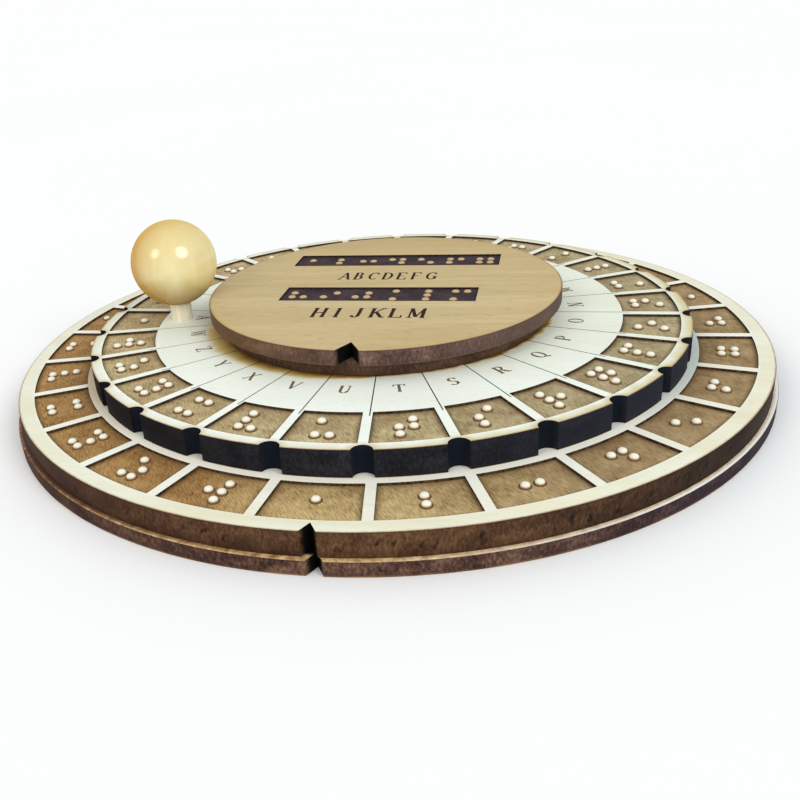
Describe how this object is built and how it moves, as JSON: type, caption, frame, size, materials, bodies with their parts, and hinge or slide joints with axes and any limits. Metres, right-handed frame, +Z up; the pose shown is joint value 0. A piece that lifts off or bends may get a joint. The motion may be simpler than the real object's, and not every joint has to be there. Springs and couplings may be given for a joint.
{
  "type": "braille cipher wheel",
  "caption": "Flat wooden cipher wheel: stacked round discs with rings of braille cells, a middle disc turned by a ball knob, and a fixed cap with an index notch.",
  "frame": {"origin": "middle of the underside of the base disc", "axes": "+Z up along the axis the middle disc turns on; -Y towards the outer disc's index notch"},
  "size_m": [0.1538, 0.1538, 0.0336],
  "materials": {
    "backing_ply": "bare plywood with a charred purple-brown edge",
    "pale_ply": "bare pale plywood, laser-engraved brown cells, charred edge",
    "dark_ply": "charred plywood edge",
    "cherry_ply": "bare tan hardwood plywood with dark engraved strips",
    "dowel_birch": "bare turned dowel",
    "lacquered_wood": "gloss lacquer over pale wood",
    "washer_card": "matt card"
  },
  "bodies": {
    "fixed_stack": {"base_disc": "backing_ply", "outer_disc": "pale_ply", "hub_disc": "pale_ply", "pivot_dowel": "dowel_birch", "slip_washer": "washer_card", "cap_spacer": "dark_ply", "cap_disc": "cherry_ply"},
    "turning_disc": {"middle_disc": "pale_ply", "knob_stem": "dowel_birch", "knob_ball": "lacquered_wood"}
  },
  "joints": [
    {"name": "disc_turn", "type": "hinge", "parent": "fixed_stack", "child": "turning_disc", "pos_m": [0, 0, 0.0098], "axis": [0, 0, 1], "continuous": true}
  ]
}
